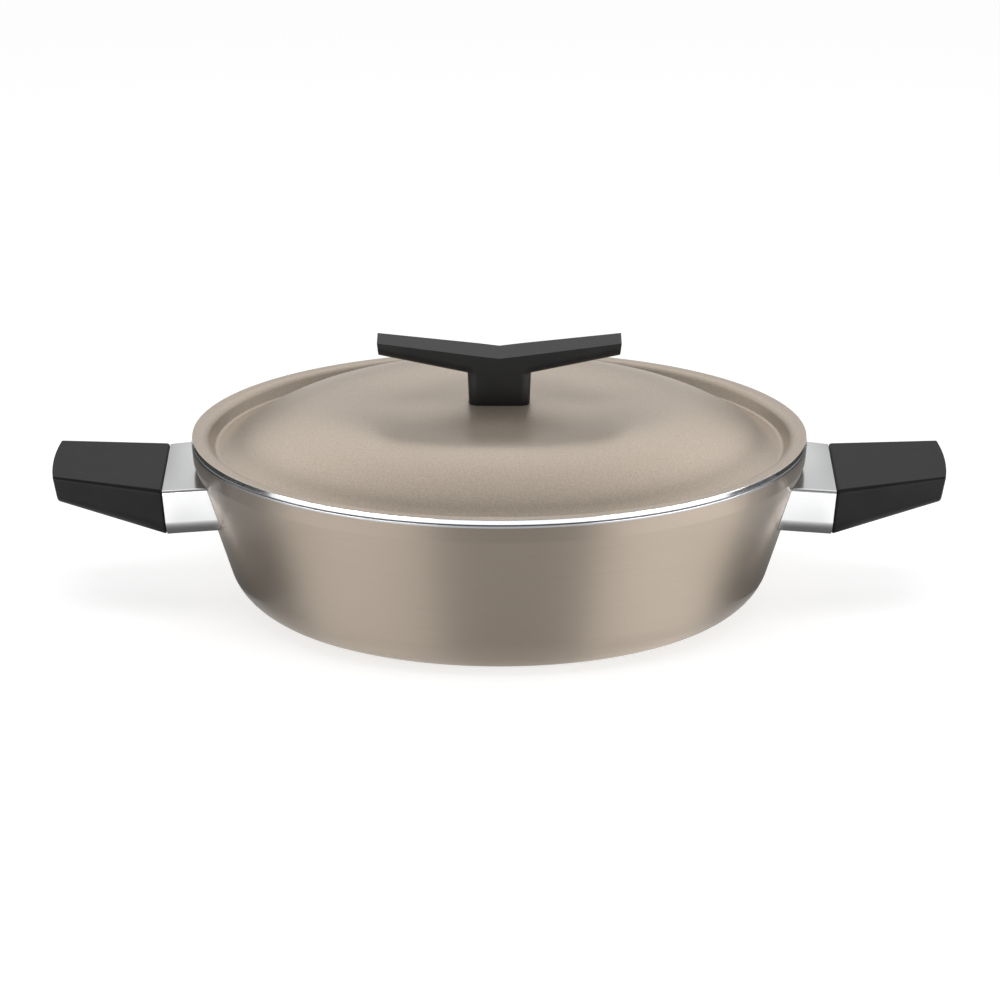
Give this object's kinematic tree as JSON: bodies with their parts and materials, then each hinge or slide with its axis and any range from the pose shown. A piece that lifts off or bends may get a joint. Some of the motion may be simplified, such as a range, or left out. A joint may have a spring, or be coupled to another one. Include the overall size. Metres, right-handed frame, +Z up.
{
  "type": "rice pot",
  "caption": "Low flared rice pot with side grips on polished sleeves and a seated domed lid with a V-shaped knob that lifts straight off.",
  "frame": {"origin": "on the pot's axis, on the table under the middle of the base", "axes": "+Z up, +X along the handles towards the right grip, +Y to the back of the pictured view"},
  "size_m": [0.3574, 0.2462, 0.1085],
  "materials": {
    "body_coating": "satin taupe coating on pressed aluminium, with a bare turned rim and base and a dark non-stick inside",
    "lid_coating": "fine-grained matt taupe coating on pressed aluminium, with a bare polished edge",
    "bakelite": "black moulded phenolic with a fine matt grain",
    "polished_steel": "mirror-polished stainless steel sheet",
    "bare_aluminium": "plain aluminium",
    "fastener_steel": "plain stainless steel",
    "brass": "turned brass"
  },
  "bodies": {
    "pot": {"pot_body": "body_coating", "bracket_left": "bare_aluminium", "rivet_left_front": "bare_aluminium", "rivet_left_back": "bare_aluminium", "ferrule_left": "polished_steel", "grip_left": "bakelite", "handle_washer_left": "fastener_steel", "handle_screw_left": "fastener_steel", "bracket_right": "bare_aluminium", "rivet_right_front": "bare_aluminium", "rivet_right_back": "bare_aluminium", "ferrule_right": "polished_steel", "grip_right": "bakelite", "handle_washer_right": "fastener_steel", "handle_screw_right": "fastener_steel"},
    "lid": {"lid_shell": "lid_coating", "lid_knob": "bakelite", "knob_insert": "brass", "knob_washer": "fastener_steel", "knob_screw": "fastener_steel"}
  },
  "joints": [
    {"name": "lid_lift", "type": "slide", "parent": "pot", "child": "lid", "axis": [0, 0, 1], "range_m": [0, 0.15]}
  ]
}
